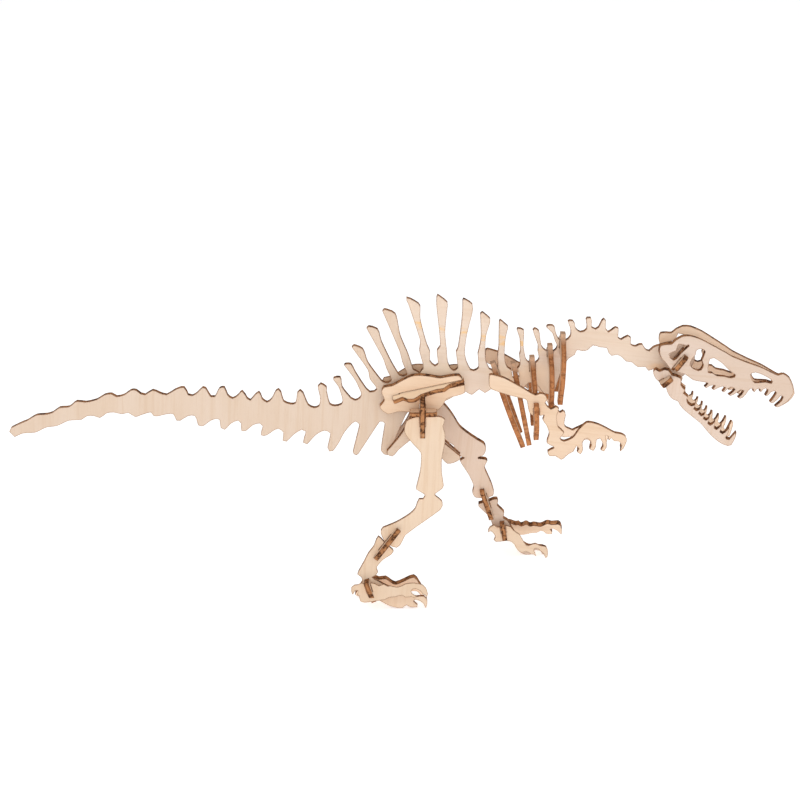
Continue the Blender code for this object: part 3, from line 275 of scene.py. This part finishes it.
def cut_edge(net):
    """Charred skins, rusty core, odd bare spots; also returns char and ring patterns."""
    char = net.noise(along=0.40, across=0.40, through=0.30, shift=41.0, detail=4.0,
                     rough=0.68)
    ring = net.noise(along=0.10, across=0.10, through=2.4, shift=47.0, detail=3.0,
                     rough=0.6)
    rust = net.mix(net.ramp(ring, span=(0.34, 0.66)), (0.150, 0.052, 0.022),
                   (0.520, 0.235, 0.100))
    edge = net.mix(net.ramp(char, span=(0.40, 0.54)), (0.052, 0.018, 0.009), rust)
    core = net.ramp(net.math('ABSOLUTE', net.depth), span=(0.85, 0.40))
    edge = net.tint(edge, core, net.ramp(char, span=(0.40, 0.60), to=(0.10, 0.50)),
                    colour=(0.540, 0.255, 0.110))
    skin = net.ramp(net.math('ABSOLUTE', net.depth), span=(0.92, 1.15))
    edge = net.tint(edge, skin, net.ramp(char, span=(0.30, 0.66), to=(0.85, 0.45)),
                    colour=(0.050, 0.017, 0.008))
    bare = net.noise(along=0.17, across=0.17, shift=53.0, detail=1.0, rough=0.5)
    edge = net.tint(edge, net.ramp(bare, span=(0.70, 0.76)), strength=0.4,
                    colour=(0.72, 0.48, 0.30))
    return edge, char, ring


def rib_edge(net, edge, piece):
    """Lighter edges for a rib, palest at its crown."""
    top = max(vertex.co.z for vertex in piece.data.vertices) * MM_PER_M
    crown = net.ramp(net.split_place()['Z'], span=(top - 5.0, top - 2.0))
    edge = net.mix(0.38, edge, (0.60, 0.225, 0.085))
    return net.tint(edge, crown, strength=0.55, colour=(0.76, 0.54, 0.38))


def scorch(net, face, char, ring):
    """Scorch that creeps over the faces next to every cut."""
    halo = net.near_cut(radius=0.82 * MM, span=(0.995, 0.86))
    glow = net.multiply(net.near_cut(radius=1.1 * MM, span=(0.998, 0.80)),
                        net.ramp(char, span=(0.30, 0.75), to=(0.15, 0.55)))
    face = net.mix(glow, face, (0.66, 0.36, 0.16))
    return net.tint(face, halo, net.ramp(ring, span=(0.25, 0.7), to=(0.72, 1.0)),
                    colour=(0.21, 0.078, 0.026))


def finish(net, bsdf, is_face, fibre, pores, ring):
    """Roughness, sheen and fine relief: fibres on the faces, rings on the edges."""
    rough = net.scale_add(fibre, times=0.16, plus=0.50)
    rough = net.math('ADD', rough, net.scale_add(is_face, times=-0.22, plus=0.22))
    roughest = 0.9
    net.put(bsdf.inputs['Roughness'], net.math('MINIMUM', rough, roughest))
    net.put(bsdf.inputs['Specular IOR Level'],
            net.scale_add(is_face, times=0.18, plus=0.06))

    fibre_height, pore_height, ring_height = 0.6, -0.5, 1.6
    height = net.math('ADD', net.multiply(fibre, fibre_height),
                      net.multiply(pores, pore_height))
    height = net.math('ADD', net.multiply(height, is_face),
                      net.multiply(net.math('SUBTRACT', 1.0, is_face),
                                   net.multiply(ring, ring_height)))
    bump = net.add('ShaderNodeBump', {'Height': height, 'Strength': 0.35,
                                      'Distance': 0.00008})
    net.put(bsdf.inputs['Normal'], bump.outputs[0])


def plywood(name, piece, index):
    """Laser-cut plywood: pale grained faces, scorched edges."""
    grain, tone = LOOKS.get(name, OTHER_LOOK)
    material = bpy.data.materials.new(name + "_plywood")
    material.use_nodes = True
    tree = material.node_tree
    tree.nodes.clear()
    output = tree.nodes.new('ShaderNodeOutputMaterial')
    bsdf = tree.nodes.new('ShaderNodeBsdfPrincipled')
    tree.links.new(bsdf.outputs[0], output.inputs[0])

    net = Sheet(tree, piece, grain, seed=index * SEED_STEP)
    geometry = net.add('ShaderNodeNewGeometry')
    is_face = net.ramp(net.facing(geometry.outputs['True Normal']), span=(0.80, 0.93))
    face, fibre, pores = veneer(net, tone)
    if name == "spine_trunk_and_neck":
        face = trunk_marks(net, face)
    edge, char, ring = cut_edge(net)
    if name.startswith("rib_"):
        edge = rib_edge(net, edge, piece)
    face = scorch(net, face, char, ring)
    net.put(bsdf.inputs['Base Color'], net.mix(is_face, edge, face))
    finish(net, bsdf, is_face, fibre, pores, ring)
    return material


for index, name in enumerate(sorted(NODES)):
    piece = NODES[name]
    material = plywood(name, piece, index)
    if not piece.material_slots:
        piece.data.materials.append(material)
    for slot in piece.material_slots:
        slot.material = material


# ------------------------------------------------------------ floor and light
FLOOR_SIZE = 13.2
AMBIENT = 0.42       # world strength for every ray but the camera's, which sees 1


def floor():
    bpy.ops.mesh.primitive_grid_add(x_subdivisions=2, y_subdivisions=2, size=FLOOR_SIZE)
    plane = bpy.context.active_object
    plane.name = "floor"
    material = bpy.data.materials.new("studio_white")
    material.use_nodes = True
    shader = material.node_tree.nodes["Principled BSDF"]
    for key, value in {"Base Color": (0.93, 0.93, 0.93, 1),
                       "Roughness": 0.9,
                       "Specular IOR Level": 0.1,
                       "Emission Color": (1, 1, 1, 1),
                       "Emission Strength": 0.60}.items():
        shader.inputs[key].default_value = value
    plane.data.materials.append(material)


def studio_world():
    """Soft ambient light, and a clean white wherever the eye looks past the floor."""
    world = bpy.data.worlds.new("studio")
    scene.world = world
    world.use_nodes = True
    net = Net(world.node_tree)
    background = world.node_tree.nodes["Background"]
    background.inputs[0].default_value = (1.0, 1.0, 1.0, 1)
    seen = net.add('ShaderNodeLightPath').outputs['Is Camera Ray']
    net.put(background.inputs[1], net.scale_add(seen, times=1.0 - AMBIENT, plus=AMBIENT))


def area_light(name, at, aim, size, power, tint=(1, 1, 1)):
    lamp = bpy.data.lights.new(name, 'AREA')
    lamp.shape = 'RECTANGLE'
    lamp.size, lamp.size_y = size
    lamp.energy = power
    lamp.color = tint
    light = bpy.data.objects.new(name, lamp)
    scene.collection.objects.link(light)
    light.location = at
    light.rotation_euler = (Vector(aim) - Vector(at)).to_track_quat('-Z', 'Y').to_euler()


floor()
studio_world()
area_light("key", at=(-0.25, -0.9, 1.15), aim=(0, 0, 0.08), size=(0.9, 0.7), power=2.4,
           tint=(1, 0.99, 0.97))
area_light("front", at=(0.0, -1.7, 0.62), aim=(0, 0, 0.09), size=(1.5, 0.9), power=9.0)
area_light("fill", at=(0.95, -0.7, 0.6), aim=(0, 0, 0.08), size=(0.7, 0.6), power=0.9)
area_light("top", at=(0.0, 0.25, 1.2), aim=(0, 0, 0.08), size=(1.0, 0.6), power=1.3)

# --------------------------------------------------------------------- camera
# Square to the backbone, looking slightly down.
TARGET = Vector((-0.52, -8.0, 102.8)) * MM
ELEVATION = 20.0     # degrees above the horizon
DISTANCE = 0.90
VIEW_WIDTH = 0.408   # width in view at the target
SENSOR = 36.0        # mm

camera_data = bpy.data.cameras.new("camera")
camera = bpy.data.objects.new("camera", camera_data)
scene.collection.objects.link(camera)
tilt = radians(ELEVATION)
camera.location = TARGET + DISTANCE * Vector((0, -cos(tilt), sin(tilt)))
camera.rotation_euler = (radians(90 - ELEVATION), 0, 0)
camera_data.sensor_width = SENSOR
camera_data.lens = SENSOR * DISTANCE / VIEW_WIDTH
camera_data.clip_start = 0.01
scene.camera = camera

scene.view_settings.view_transform = 'Standard'
scene.view_settings.look = 'None'
